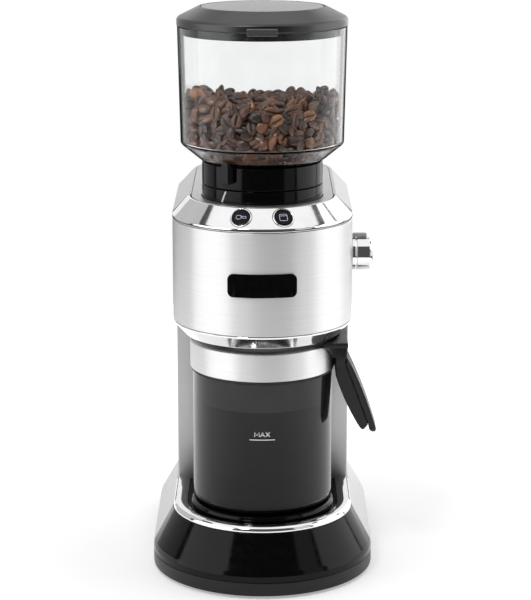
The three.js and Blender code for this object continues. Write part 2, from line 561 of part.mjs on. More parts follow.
// The handle hangs outwards from a saddle on the right of the steel ring. Outlines are in [x, z] as seen
// from the front; a second outline in [y, z], as seen from the side, rounds the paddle.
function buildHandle() {
  const side = new THREE.Shape();
  side.moveTo(-33, 159);
  side.lineTo(-33, 155.4);
  side.quadraticCurveTo(-18, 150, -14.5, 138);
  side.lineTo(-12.5, 98);
  side.quadraticCurveTo(-11.5, 86.6, 0, 86.6);
  side.quadraticCurveTo(11.5, 86.6, 12.5, 98);
  side.lineTo(14.5, 138);
  side.quadraticCurveTo(18, 150, 33, 155.4);
  side.lineTo(33, 159);
  const along = (shape, depth) =>
    new THREE.ExtrudeGeometry(shape, { depth, bevelEnabled: false, curveSegments: 7 });
  // Extruded along X, with the outline's first coordinate turned to Y.
  const mask = solid(along(side, 50).rotateX(Math.PI / 2).rotateZ(Math.PI / 2).translate(42, 0, 0));

  const grip = new THREE.Shape();
  grip.moveTo(50.9, 158.8);
  grip.lineTo(50.9, 131);
  grip.quadraticCurveTo(56.6, 112, 67.6, 93.4);
  grip.quadraticCurveTo(69.6, 89.4, 71.4, 90.8);
  grip.lineTo(74, 94.6);
  grip.quadraticCurveTo(66.6, 116, 57.4, 140.6);
  grip.lineTo(58.9, 144.6);
  grip.lineTo(58.9, 158.8);
  const cover = new THREE.Shape();
  cover.moveTo(57.9, 140.2);
  cover.quadraticCurveTo(67.1, 116, 74.6, 94.6);
  cover.lineTo(75.4, 89.8);
  cover.quadraticCurveTo(77, 87, 79, 88);
  cover.quadraticCurveTo(80.2, 89.2, 79.6, 92);
  cover.quadraticCurveTo(71, 121, 59.2, 143.8);
  // Extruded along Y, centred on the front axis.
  const sideways = (shape) => solid(along(shape, 70).rotateX(Math.PI / 2).translate(0, 35, 0));
  const bore = rod(RING_R + 0.4, 60, 170, 0, 0, 2 * ARC);
  const saddle = rod(59.4, 144.4, 158.8, 0, 0, 2 * ARC).intersect(block([20, -40, 140], [60, 40, 160]));
  const body = sideways(grip).add(saddle).subtract(bore).intersect(mask);
  place(frontAxis, "handle_grip", MATERIAL.satinBlack, body);
  place(frontAxis, "handle_cover", MATERIAL.satinBlack, sideways(cover).intersect(mask));
}

// ---------------------------------------------------------------- dial on the right-hand side
function buildDial() {
  const dial = new THREE.Group();
  dial.position.set(BODY_R, KNOB.y, KNOB.z);
  dial.rotation.y = Math.PI / 2; // +Z of the group points to the right
  grinder.add(dial);
  const { r, length } = KNOB;
  place(dial, "knob", MATERIAL.chrome, turned([
    [0, 8], [3.4, 8], [3.4, 0.6], [r - 0.4, 0.6], [r, 1.1], [r, length - 2], [r - 0.7, length - 0.7],
    [r - 2, length], [0, length],
  ], 28));
  place(dial, "knob_pointer", MATERIAL.silver, block([-r - 3, -1.8, 1.2], [-r - GAP, 1.8, 11.2]));
  place(dial, "knob_shaft", MATERIAL.steel, turned([[0, -12], [3, -12], [3, 7.6], [0, 7.6]], 16));
  place(dial, "dial_sensor", MATERIAL.board, turned([
    [3.4, -15], [8, -15], [8, -3.2], [3.4, -3.2],
  ], 20));
}

// ---------------------------------------------------------------- rear fittings and electronics
function buildRear() {
  const rear = BODY_R - FRONT;
  const gland = turned([
    [3.6, -6], [6, -6], [6, 0.6], [8.4, 0.6], [8.4, 2.4], [6.4, 4.4], [3.6, 4.4],
  ], 20);
  const bush = place(grinder, "cord_gland", MATERIAL.rubber, gland);
  bush.rotation.x = -Math.PI / 2; // +Z of the bush points to the rear
  bush.position.set(0, rear, GLAND_Z);

  const { x, z, h } = SWITCH;
  let frame = block([-x, rear + 0.5, z - h], [x, rear + 2.5, z + h]);
  frame = frame.add(block([-x + 2.5, rear - 12, z - h + 2], [x - 2.5, rear + 1, z + h - 2]));
  frame = frame.subtract(block([-7.4, rear - 9, z - 4.9], [7.4, rear + 5, z + 4.9]));
  place(grinder, "switch_frame", MATERIAL.satinBlack, frame);

  const rocker = polygon([[-6, 4.8], [-5, 0], [-2.5, -3.5], [2.5, -3.5], [5, 0], [6, 4.8], [0, 3.4]]);
  const key = place(grinder, "rocker", MATERIAL.glossBlack, prism(rocker, -4.5, 4.5));
  key.rotation.z = -10 * (Math.PI / 180);
  key.position.set(0, SWITCH.y, z);

  let board = block([-26, 88, 92], [26, 89.6, 152]);
  board = board.add(block([-20, 80, 100], [-4, 88.5, 118]));
  board = board.add(block([4, 82, 126], [20, 88.5, 144]));
  place(grinder, "mains_board", MATERIAL.board, board);
}

buildBase();
buildShells();
buildTop();
buildWorks();
buildBurrs();
buildHopper();
buildJar();
buildDial();
buildRear();

export default grinder;
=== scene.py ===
import math

import bmesh
import bpy
import numpy as np
from mathutils import Matrix, Vector


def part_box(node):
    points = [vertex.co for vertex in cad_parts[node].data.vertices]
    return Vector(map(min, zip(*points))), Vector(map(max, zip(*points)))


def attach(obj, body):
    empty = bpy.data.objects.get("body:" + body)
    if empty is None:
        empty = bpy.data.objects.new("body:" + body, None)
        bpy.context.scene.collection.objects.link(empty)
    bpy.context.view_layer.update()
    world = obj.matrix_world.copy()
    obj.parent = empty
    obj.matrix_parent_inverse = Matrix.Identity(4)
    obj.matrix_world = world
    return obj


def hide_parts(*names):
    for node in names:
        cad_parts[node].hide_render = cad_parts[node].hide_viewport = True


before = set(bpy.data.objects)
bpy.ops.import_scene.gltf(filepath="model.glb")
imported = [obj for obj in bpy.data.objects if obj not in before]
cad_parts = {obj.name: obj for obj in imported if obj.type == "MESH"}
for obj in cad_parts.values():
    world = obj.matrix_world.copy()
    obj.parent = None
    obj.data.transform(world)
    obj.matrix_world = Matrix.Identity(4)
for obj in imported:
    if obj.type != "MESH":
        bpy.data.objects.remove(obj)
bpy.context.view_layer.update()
MM = 0.001

# ------------------------------------------------------------------ sizes in millimetres
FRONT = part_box("front_cover")[1].y / MM  # y of the axis that jar, burrs and hopper share
REAR = -FRONT  # y of the rear axis of the plan
BODY_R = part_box("head_shell")[1].x / MM
BASE_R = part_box("base_pan")[1].x / MM
COLUMN_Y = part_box("column_front")[0].y / MM
STAND = 9.8  # heights below count from a plane this far above the floor; piece() raises them
GAP = 0.3  # between a seam and the edge of a part that ends at it
SKIRT_TOP = 32.5
SKIRT_LEAN = math.atan2(8.5, 30.9)  # lean of the seam between skirt and flare
COVER_LOW, COVER_HIGH = 170.3, 240.9
PLATE_BACK, PLATE_FACE = 62.3, 63.2  # radii of the name plate
PLATE_Z = 205.2  # its middle
BAND_FOOT, BAND_HEAD = (61.2, 244.4), (50.8, 256)  # the control band's slope, as (radius, height)
BUTTON_X = {"left": -14, "right": 14}
DECK_Z = 256
JAR_R = 48.8
NECK_R = 41.5
POINTER_ANGLE = -31  # of the collar's fin, from the front in degrees
HOPPER_FLOOR = 283.8
HOPPER_INSIDE = [HOPPER_FLOOR, 293, 294, 372], [41.5, 52.4, 53.6, 55.4]  # heights, and radii there
HEAP_MIDDLE, HEAP_RISE = 319.5, 11  # height of the beans at x = 0, and their rise at the sides
BEANS_DEEP = 11  # only beans this near the wall or the top of the heap are made
DIAL = (62, -30.5, 210)  # where the dial's axis leaves the head's side
COLUMN_REAR = 114.5
GLAND_Z, SWITCH_Z = 50, 72
QUARTER = math.pi / 2  # a quarter turn


# ------------------------------------------------------------------ materials
class Look:
    """A procedural material, built node by node on a Principled shader."""

    def __init__(self, name):
        self.material = bpy.data.materials.new(name)
        self.material.use_nodes = True
        self.tree = self.material.node_tree
        self.shader = self.tree.nodes["Principled BSDF"]
        self.output = self.tree.nodes["Material Output"]
        self.where = self.add("ShaderNodeTexCoord").outputs["Object"]

    def add(self, kind, inputs=None, **settings):
        node = self.tree.nodes.new(kind)
        for key, value in settings.items():
            setattr(node, key, value)
        for key, value in (inputs or {}).items():
            self.put(node.inputs[key], value)
        return node

    def put(self, socket, value):
        if isinstance(value, bpy.types.NodeSocket):
            self.tree.links.new(value, socket)
        else:
            socket.default_value = value

    def set(self, **values):
        for key, value in values.items():
            self.put(self.shader.inputs[key.replace("_", " ")], value)
        return self

    def noise(self, scale, stretch=(1, 1, 1), detail=2.0):
        """Noise of 0 to 1, with scale in waves to the metre before the stretch."""
        mapped = self.add("ShaderNodeMapping", {"Vector": self.where, "Scale": stretch})
        return self.add(
            "ShaderNodeTexNoise",
            {"Vector": mapped.outputs[0], "Scale": scale, "Detail": detail},
        ).outputs[0]

    def spread(self, value, low, high, of=(0.3, 0.7)):
        """A value brought from one range to another."""
        node = self.add("ShaderNodeMapRange", {"Value": value})
        for key, number in zip(range(1, 5), (*of, low, high)):
            node.inputs[key].default_value = number
        return node.outputs[0]

    def mix(self, factor, a, b):
        node = self.add("ShaderNodeMix", {0: factor}, data_type="RGBA")
        self.put(node.inputs[6], a)
        self.put(node.inputs[7], b)
        return node.outputs[2]

    def sum(self, a, b):
        return self.add("ShaderNodeMath", {0: a, 1: b}, operation="ADD").outputs[0]

    def bump(self, height, distance, strength=1.0):
        node = self.add("ShaderNodeBump", {"Height": height, "Strength": strength})
        node.inputs["Distance"].default_value = distance
        self.put(self.shader.inputs["Normal"], node.outputs[0])
        return self


def grey(value, tint=0.0):
    return (value, value, value * (1 + tint), 1)


def scaled(colour, factor):
    return tuple(c * factor for c in colour[:3]) + (1,)


def brushed_steel():
    """Steel brushed round the body: fine lines level with the floor."""
    look = Look("brushed_steel")
    fine = look.noise(1, (24, 24, 6500), 3)
    broad = look.noise(1, (9, 9, 1700), 2)
    lines = look.sum(fine, broad)
    patch = look.noise(18, (1, 1, 0.4))
    tone = look.mix(look.spread(lines, 0, 1, (0.7, 1.3)), grey(0.72), grey(0.80, 0.01))
    look.set(Base_Color=tone, Metallic=1.0, Anisotropic=0.8)
    rough = look.sum(look.spread(lines, 0.40, 0.46, (0.7, 1.3)), look.spread(patch, 0, 0.03))
    look.set(Roughness=rough)
    upright = look.add("ShaderNodeCombineXYZ", {"Z": 1.0}).outputs[0]
    look.set(Tangent=upright)
    return look.bump(fine, 0.00001, 0.3)


def chrome():
    look = Look("chrome")
    smudge = look.noise(90, (1, 1, 1), 4)
    look.set(Base_Color=look.mix(look.spread(smudge, 0, 1), grey(0.80), grey(0.86, 0.012)))
    look.set(Metallic=1.0, Roughness=look.spread(smudge, 0.05, 0.11))
    return look.bump(look.noise(420), 0.00001, 0.15)


def silver_paint():
    """Metallic lacquer with a fine grain, as on the body's sides."""
    look = Look("silver_paint")
    grain = look.noise(3400, (1, 1, 0.6), 3)
    cloud = look.noise(26, (1, 1, 0.5), 3)
    tone = look.mix(look.spread(grain, 0, 1), grey(0.48), grey(0.62, 0.01))
    tone = look.mix(look.spread(cloud, 0, 0.16), tone, grey(0.40))
    look.set(Base_Color=tone, Metallic=0.92, Roughness=look.spread(grain, 0.30, 0.42))
    return look.bump(grain, 0.00003, 0.35)


def machined(name, light, dark, rough=0.3):
    """Turned metal, with the tool's lines round the part."""
    look = Look(name)
    lines = look.noise(1, (60, 60, 3800), 3)
    look.set(Base_Color=look.mix(look.spread(lines, 0, 1), dark, light), Metallic=1.0)
    look.set(Roughness=look.spread(lines, rough - 0.05, rough + 0.08))
    return look.bump(lines, 0.00002, 0.4)


def gloss_black():
    look = Look("gloss_black")
    dust = look.noise(260, (1, 1, 1), 5)
    look.set(Base_Color=look.mix(look.spread(dust, 0, 1, (0.4, 0.8)), grey(0.0015), grey(0.003)))
    look.set(Roughness=look.spread(dust, 0.08, 0.14), Specular_IOR_Level=0.18)
    return look.bump(look.noise(130), 0.00003, 0.12)


def moulded(name, tone, rough, grain=1500.0, depth=0.00006, gloss=0.3):
    """Moulded plastic or rubber with a fine leather-like grain."""
    look = Look(name)
    cells = look.add("ShaderNodeTexVoronoi", {"Vector": look.where, "Scale": grain}).outputs[0]
    wear = look.noise(45, (1, 1, 1), 4)
    look.set(Base_Color=look.mix(look.spread(wear, 0, 1), tone, scaled(tone, 1.45)))
    look.set(Roughness=look.spread(wear, rough - 0.05, rough + 0.05), Specular_IOR_Level=gloss)
    return look.bump(cells, depth, 0.5)


def see_through(name, tone, rough, ior, outline):
    """Clear plastic with a dark outline, whose strength is 0 to 1."""
    look = Look(name)
    haze = look.noise(60, (1, 1, 1), 4)
    face = look.mix(look.spread(haze, 0, 1), tone, scaled(tone, 0.97))
    # Plastic looks darker along its outline, where the view runs a long way inside the wall.
    slant = look.add("ShaderNodeLayerWeight", {"Blend": 0.5}).outputs["Facing"]
    look.set(Base_Color=look.mix(look.spread(slant, 0, outline, (0.68, 0.84)), face, grey(0.03)))
    look.set(Transmission_Weight=1.0, IOR=ior, Specular_Tint=grey(0.08))
    look.set(Roughness=look.spread(haze, rough, rough + 0.015))
    # Rays from the lamps pass straight through, a little dimmed.
    path = look.add("ShaderNodeLightPath")
    clear = look.add("ShaderNodeBsdfTransparent", {"Color": (0.93, 0.94, 0.94, 1)})
    both = look.add("ShaderNodeMixShader", {0: path.outputs["Is Shadow Ray"]})
    rim = look.add("ShaderNodeMixShader", {0: look.spread(slant, 0, outline, (0.70, 0.84))})
    dark = look.add("ShaderNodeBsdfTransparent", {"Color": grey(0.1)})
    look.put(rim.inputs[1], look.shader.outputs[0])
    look.put(rim.inputs[2], dark.outputs[0])
    look.put(both.inputs[1], rim.outputs[0])
    look.put(both.inputs[2], clear.outputs[0])
    look.put(look.output.inputs["Surface"], both.outputs[0])
    return look


def smoked():
    """Dark polished plastic that lets part of the view through, without bending it."""
    look = Look("smoked_plastic")
    haze = look.noise(40, (1, 1, 1), 4)
    look.set(Base_Color=look.mix(look.spread(haze, 0, 1), grey(0.006), grey(0.009)))
    look.set(Roughness=look.spread(haze, 0.07, 0.11), IOR=1.52)
    clear = look.add("ShaderNodeBsdfTransparent", {"Color": grey(0.72)})
    # The outline shows gloss and little of what lies behind.
    slant = look.add("ShaderNodeLayerWeight", {"Blend": 0.5}).outputs["Facing"]
    both = look.add("ShaderNodeMixShader", {0: look.spread(slant, 0.62, 0.1, (0.08, 0.75))})
    look.put(both.inputs[1], look.shader.outputs[0])
    look.put(both.inputs[2], clear.outputs[0])
    look.put(look.output.inputs["Surface"], both.outputs[0])
    return look


def coffee_bean():
    """Roasted beans, each with its own roast, with painted shade darkening the crease."""
    look = Look("coffee_bean")
    roast = look.add("ShaderNodeAttribute", attribute_name="roast").outputs["Fac"]
    crease_shade = look.add("ShaderNodeAttribute", attribute_name="crease_shade").outputs["Fac"]
    ramp = look.add("ShaderNodeValToRGB", {"Fac": roast})
    stops = ramp.color_ramp
    stops.elements[0].color = (0.010, 0.005, 0.004, 1)
    stops.elements[1].color = (0.52, 0.240, 0.100, 1)
    stops.elements.new(0.35).color = (0.080, 0.034, 0.020, 1)
    stops.elements.new(0.75).color = (0.230, 0.098, 0.050, 1)
    mottle = look.noise(700, (1, 1, 1), 3)
    tone = look.mix(look.spread(mottle, 0, 0.5), ramp.outputs[0], (0.008, 0.005, 0.004, 1))
    # Painted shade: the crease is darkened toward near-black along the groove.
    look.set(Base_Color=look.mix(crease_shade, tone, (0.003, 0.002, 0.0015, 1)))
    look.set(Roughness=look.spread(mottle, 0.27, 0.37), Specular_IOR_Level=0.8)
    return look.bump(look.noise(900, (1, 1, 1), 2), 0.00006, 0.5)


def printed(name, tone):
    look = Look(name)
    speck = look.noise(3000)
    look.set(Base_Color=look.mix(look.spread(speck, 0, 1), tone, scaled(tone, 0.86)))
    look.set(Roughness=look.spread(speck, 0.4, 0.55))
    return look


def circuit_board():
    look = Look("circuit_board")
    tracks = look.add(
        "ShaderNodeTexBrick", {"Vector": look.where, "Scale": 260.0, "Mortar Size": 0.12}
    ).outputs["Fac"]
    look.set(Base_Color=look.mix(tracks, (0.02, 0.16, 0.07, 1), (0.05, 0.30, 0.13, 1)))
    look.set(Roughness=look.spread(look.noise(800), 0.35, 0.5))
    return look.bump(tracks, 0.00004, 0.6)


LOOKS = {
    "brushed_steel": brushed_steel(),
    "chrome": chrome(),
    "silver_paint": silver_paint(),
    "machined_steel": machined("machined_steel", grey(0.56), grey(0.36)),
    "brass": machined("brass", (0.80, 0.58, 0.26, 1), (0.60, 0.40, 0.15, 1)),
    "gloss_black": gloss_black(),
    "satin_black": moulded("satin_black", grey(0.006, 0.03), 0.38),
    "handle_black": moulded("handle_black", grey(0.006, 0.03), 0.34, 1900.0, 0.00005),
    "rubber": moulded("rubber", grey(0.022), 0.72, 900.0, 0.00012),
    "inner_plastic": moulded("inner_plastic", (0.62, 0.60, 0.54, 1), 0.5, 700.0),
    "clear_plastic": see_through("clear_plastic", (0.95, 0.957, 0.957, 1), 0.005, 1.45, 0.9),
    "clear_window": see_through("clear_window", (0.98, 0.985, 0.985, 1), 0.02, 1.12, 0.0),
    "smoked_plastic": smoked(),
    "lid_black": moulded("lid_black", grey(0.005, 0.03), 0.32, gloss=0.9),
    "tab_grey": moulded("tab_grey", grey(0.05), 0.26, gloss=1.0),
    "jar_lid_grey": moulded("jar_lid_grey", grey(0.42), 0.34).set(Metallic=0.75),
    "coffee_bean": coffee_bean(),
    "printed_white": printed("printed_white", (0.92, 0.93, 0.95, 1)),
    "printed_blue": printed("printed_blue", (0.62, 0.64, 0.85, 1)),
    "circuit_board": circuit_board(),
}


# ------------------------------------------------------------------ mesh tools
def at(x, y, z, *turns):
    """A placing matrix: a move in mm after turns of (angle, axis), the last turn first."""
    place = Matrix.Translation((x * MM, y * MM, z * MM))
    for angle, axis in turns:
        place = place @ Matrix.Rotation(angle, 4, axis)
    return place


def mesh_of(bm, name="shape"):
    bmesh.ops.remove_doubles(bm, verts=bm.verts, dist=1e-7)
    bmesh.ops.recalc_face_normals(bm, faces=bm.faces)
    mesh = bpy.data.meshes.new(name)
    bm.to_mesh(mesh)
    bm.free()
    return mesh


def soften(profile, radius=0.4, steps=3):
    """The profile with its corners rounded. A third number in a point is its own radius.
    Points on the axis and corners of less than 4 degrees stay as they are."""
    out = []
    count = len(profile)
    for i, point in enumerate(profile):
        here = Vector(point[:2])
        if here.x == 0:
            out.append(tuple(here))
            continue
        before = Vector(profile[i - 1][:2]) - here
        after = Vector(profile[(i + 1) % count][:2]) - here
        corner = before.angle(after)
        if math.pi - corner < math.radians(4):
            out.append(tuple(here))
            continue
        wanted = point[2] if len(point) > 2 else radius
        reach = min(wanted / math.tan(corner / 2), 0.46 * before.length, 0.46 * after.length)
        a, b = here + before.normalized() * reach, here + after.normalized() * reach
        turns = steps if wanted < 2 else 3 * steps
        for s in range(turns + 1):
            f = s / turns
            out.append(tuple(a * (1 - f) ** 2 + here * 2 * f * (1 - f) + b * f * f))
    return out


def arc(axis_y, start, end, count):
    """Stations (y of the axis, angle from the front in degrees) round an axis."""
    return [(axis_y, start + (end - start) * i / count) for i in range(count + 1)]


def front_path(end_y, count=120):
    """Round the front half, and straight back along both sides to end_y."""
    return [(end_y, -90), *arc(FRONT, -90, 90, count), (end_y, 90)]


def rear_path(start_y, count=120):
    return [(start_y, 90), *arc(REAR, 90, 270, count), (start_y, 270)]


def whole_path(count=120):
    return [*arc(FRONT, -90, 90, count), *arc(REAR, 90, 270, count)]


def swept(profile, path, loop=False, place=None):
    """A closed solid: the profile [r, z] carried along the stations of a path.
    A profile that begins on the axis is closed by the axis."""
    bm = bmesh.new()
    rows = []
    for axis_y, angle in path:
        s, c = math.sin(math.radians(angle)), math.cos(math.radians(angle))
        rows.append([bm.verts.new(Vector((r * s, axis_y - r * c, z)) * MM) for r, z in profile])
    n, m = len(profile), len(path)
    on_axis = profile[0][0] == 0
    for i in range(m if loop else m - 1):
        a, b = rows[i], rows[(i + 1) % m]
        for j in range(n - 1 if on_axis else n):
            k = (j + 1) % n
            bm.faces.new((a[j], a[k], b[k], b[j]))
    if not loop:
        bm.faces.new(rows[0])
        bm.faces.new(rows[-1])
    if place is not None:
        bm.transform(place)
    return mesh_of(bm)


def lathe(profile, place=None, count=144):
    """A solid of revolution about the front axis, or about the Z of a placing matrix."""
    axis_y = FRONT if place is None else 0.0
    return swept(profile, arc(axis_y, -180, 180, count)[:-1], True, place)


def prism(outline, low, high, place=None):
    """An outline [x, y] drawn out from low to high along Z."""
    bm = bmesh.new()
    bottom = [bm.verts.new(Vector((x, y, low)) * MM) for x, y in outline]
    top = [bm.verts.new(Vector((x, y, high)) * MM) for x, y in outline]
    bm.faces.new(bottom)
    bm.faces.new(top)
    for i in range(len(outline)):
        k = (i + 1) % len(outline)
        bm.faces.new((bottom[i], bottom[k], top[k], top[i]))
    if place is not None:
        bm.transform(place)
    return mesh_of(bm)


def slab(low, high):
    (x0, y0, z0), (x1, y1, z1) = low, high
    return prism([(x0, y0), (x1, y0), (x1, y1), (x0, y1)], z0, z1)


def bezier(a, b, c, count=10):
    """Points of a quadratic curve after its first."""
    a, b, c = Vector(a), Vector(b), Vector(c)
    steps = [i / count for i in range(1, count + 1)]
    return [tuple(a * (1 - t) ** 2 + b * 2 * t * (1 - t) + c * t * t) for t in steps]


def applied(mesh, *modifiers):
    """The mesh after modifiers, each given as (type, settings)."""
    thing = bpy.data.objects.new("working", mesh)
    bpy.context.scene.collection.objects.link(thing)
    for kind, settings in modifiers:
        modifier = thing.modifiers.new(kind, kind)
        for key, value in settings.items():
            setattr(modifier, key, value)
    evaluated = thing.evaluated_get(bpy.context.evaluated_depsgraph_get())
    result = bpy.data.meshes.new_from_object(evaluated)
    bpy.data.objects.remove(thing)
    return result


def joined(mesh, other, operation="DIFFERENCE"):
    """Two closed meshes cut, joined or intersected."""
    tool = bpy.data.objects.new("tool", other)
    bpy.context.scene.collection.objects.link(tool)
    settings = {"object": tool, "operation": operation, "solver": "EXACT"}
    result = applied(mesh, ("BOOLEAN", settings))
    bpy.data.objects.remove(tool)
    return result


def cut_plane(mesh, point, normal):
    """The closed part of a mesh on the side that the normal points away from."""
    bm = bmesh.new()
    bm.from_mesh(mesh)
    geometry = [*bm.verts, *bm.edges, *bm.faces]
    bmesh.ops.bisect_plane(
        bm, geom=geometry, plane_co=Vector(point) * MM, plane_no=normal, clear_outer=True
    )
    bmesh.ops.holes_fill(bm, edges=[e for e in bm.edges if e.is_boundary], sides=0)
    return mesh_of(bm)


def merged(*meshes):
    """Several meshes in one."""
    bm = bmesh.new()
    for mesh in meshes:
        bm.from_mesh(mesh)
    return mesh_of(bm)


def piece(name, mesh, body, look, stands_for=(), bevel=0.0, sharp=38.0):
    """Adds a piece that rides on a body. stands_for lists the CAD nodes it replaces.
    An edge of more than sharp degrees is a corner: bevelled by bevel mm, or left sharp."""
    mesh.name = name
    mesh.transform(Matrix.Translation((0, 0, STAND * MM)))
    obj = bpy.data.objects.new(name, mesh)
    bpy.context.scene.collection.objects.link(obj)
    mesh.materials.clear()
    mesh.materials.append(LOOKS[look].material)
    mesh.shade_smooth()
    if bevel:
        modifier = obj.modifiers.new("edges", "BEVEL")
        modifier.width = bevel * MM
        modifier.segments = 3
        modifier.limit_method = "ANGLE"
        modifier.angle_limit = math.radians(sharp)
        modifier.harden_normals = True
    else:
        mesh.set_sharp_from_angle(angle=math.radians(sharp))
    modifier = obj.modifiers.new("normals", "WEIGHTED_NORMAL")
    modifier.keep_sharp = True
    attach(obj, body)
    if stands_for:
        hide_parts(*stands_for)
    return obj


def stroke(lines, radius, place=None):
    """Thin raised lines as one mesh. Each line is its points in mm, and whether it is closed."""
    curve = bpy.data.curves.new("stroke", "CURVE")
    curve.dimensions = "3D"
    curve.bevel_depth = radius * MM
    curve.bevel_resolution = 2
    curve.use_fill_caps = True
    for points, closed in lines:
        spline = curve.splines.new("POLY")
        spline.points.add(len(points) - 1)
        for slot, point in zip(spline.points, points):
            slot.co = (*(Vector(point) * MM), 1)
        spline.use_cyclic_u = closed
    thing = bpy.data.objects.new("stroke", curve)
    bpy.context.scene.collection.objects.link(thing)
    mesh = bpy.data.meshes.new_from_object(
        thing.evaluated_get(bpy.context.evaluated_depsgraph_get())
    )
    bpy.data.objects.remove(thing)
    if place is not None:
        mesh.transform(place)
    return mesh


# ------------------------------------------------------------------ base
def build_base():
    pan = soften([(74.5, -7.8), (BASE_R, -7.8, 1.2), (BASE_R, 1.6, 0.5), (74.5, 1.6)])
    floor = soften([(0, -7.8), (75, -7.8), (75, -5.3), (0, -5.3)])
    piece("base_pan_wall", swept(pan, whole_path(), True), "body", "satin_black", ["base_pan"])
    piece("base_pan_floor", swept(floor, whole_path(), True), "body", "satin_black")
    foot = soften([
        (0, 0), (2.5, 0), (3, 0.5), (5.5, 0.5), (6, 0), (8.6, 0), (9, 0.8), (9, 1.7), (0, 1.7),
    ], 0.2)
    for name in ("foot_front_left", "foot_front_right", "foot_rear_left", "foot_rear_right"):
        low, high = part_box(name)
        middle = (low + high) / 2
        place = Matrix.Translation((middle.x, middle.y, -STAND * MM))
        piece(name + "_pad", lathe(foot, place, count=64), "body", "rubber", [name])

    slope = soften([
        (77.5, 1.9), (77.5, 6, 2), (76.7, 9, 3), (63.3, SKIRT_TOP, 0.6), (60.3, SKIRT_TOP),
        (73.6, 8.4), (74.5, 1.9),
    ])
    normal = Vector((0, math.cos(SKIRT_LEAN), -math.sin(SKIRT_LEAN)))
    whole = swept(slope, whole_path(), True)
    skirt = cut_plane(whole, (0, FRONT - GAP, SKIRT_TOP), normal)
    piece("base_skirt_gloss", skirt, "body", "gloss_black", ["base_skirt"], 0.15, 50)
    flare = cut_plane(whole, (0, FRONT + GAP, SKIRT_TOP), -normal)
    piece("base_flare_silver", flare, "body", "silver_paint", ["base_rear_flare"], 0.15, 50)

    trim = soften([
        (63.1, 32.8), (63, 33.9, 1), (62.4, 35.2, 2), (61.1, 36.5, 2), (59.2, 37, 2),
        (57.8, 37.2, 1), (56.4, 37, 1), (53.4, 35.9, 0.6), (53, 35.5), (53, 34.8), (57, 34.8),
        (58.4, 32.8),
    ])
    path = front_path(COLUMN_Y - GAP)
    piece("base_trim_chrome", swept(trim, path), "body", "chrome", ["base_trim"])
    tray = soften([(0, 31.5), (56.2, 31.5), (56.2, 34.5, 0.8), (0, 34.5)])
    piece("tray_gloss", swept(tray, path), "body", "gloss_black", ["tray_floor"])
    platform = soften([
        (0, 34.8), (50, 34.8), (50.4, 35.9), (50.4, 37.2, 1), (49.6, 38.8), (48.4, 39.4),
        (0, 39.4),
    ])
    piece("jar_platform_gloss", lathe(platform), "body", "gloss_black", ["jar_platform"])


# ------------------------------------------------------------------ column and head
def build_body():
    column = soften([(59.5, 32.8), (62, 32.8), (62, 169.9), (59.5, 169.9)])
    column = swept(column, rear_path(COLUMN_Y + 2.8))
    place = at(0, COLUMN_REAR, GLAND_Z, (-QUARTER, "X"))
    gland_hole = lathe([(0, -10), (6.3, -10), (6.3, 10), (0, 10)], place, count=64)
    column = joined(column, gland_hole)
    switch_hole = slab(
        (-9.4, COLUMN_REAR - 10, SWITCH_Z - 6.4), (9.4, COLUMN_REAR + 5, SWITCH_Z + 6.4)
    )
    column = joined(column, switch_hole)
    piece("column_sides", column, "body", "silver_paint", ["column_shell"], 0.2, 50)
    face = slab((-61.9, COLUMN_Y, 32.9), (61.9, COLUMN_Y + 2.5, 159.9))
    piece("column_face", face, "body", "silver_paint", ["column_front"], 0.6, 50)

    head = soften([(59.5, COVER_LOW), (62, COVER_LOW), (62, 243.7), (59.5, 243.7)], 0.5)
    head = swept(head, rear_path(-51.9))
    shaft_hole = lathe(
        [(0, -6), (3.6, -6), (3.6, 6), (0, 6)], at(*DIAL, (QUARTER, "Y")), count=48
    )
    piece("head_sides", joined(head, shaft_hole), "body", "silver_paint", ["head_shell"], 0.2, 50)
    cover = [(61, COVER_LOW), (BODY_R, COVER_LOW), (BODY_R, COVER_HIGH), (61, COVER_HIGH)]
    cover = swept(soften(cover, 0.45), arc(FRONT, -90, 90, 180))
    piece("front_cover_steel", cover, "body", "brushed_steel", ["front_cover"], 0.2, 50)

    lip = soften([
        (0, 161.5), (52, 161.5), (52, 160.3), (54, 160.3), (54.6, 160.9, 0.8), (61.6, 168.7, 0.8),
        (62, 169.9), (59.5, 169.9), (53.4, 163.5), (0, 163.5),
    ], 0.3)
    lip = swept(lip, front_path(COLUMN_Y + 2.4, 180))
    lip = joined(lip, slab((-12.5, -100.5, 150), (12.5, -78.5, 166)))
    piece("lower_lip_chrome", lip, "body", "chrome", ["lower_lip"])
    build_plate()


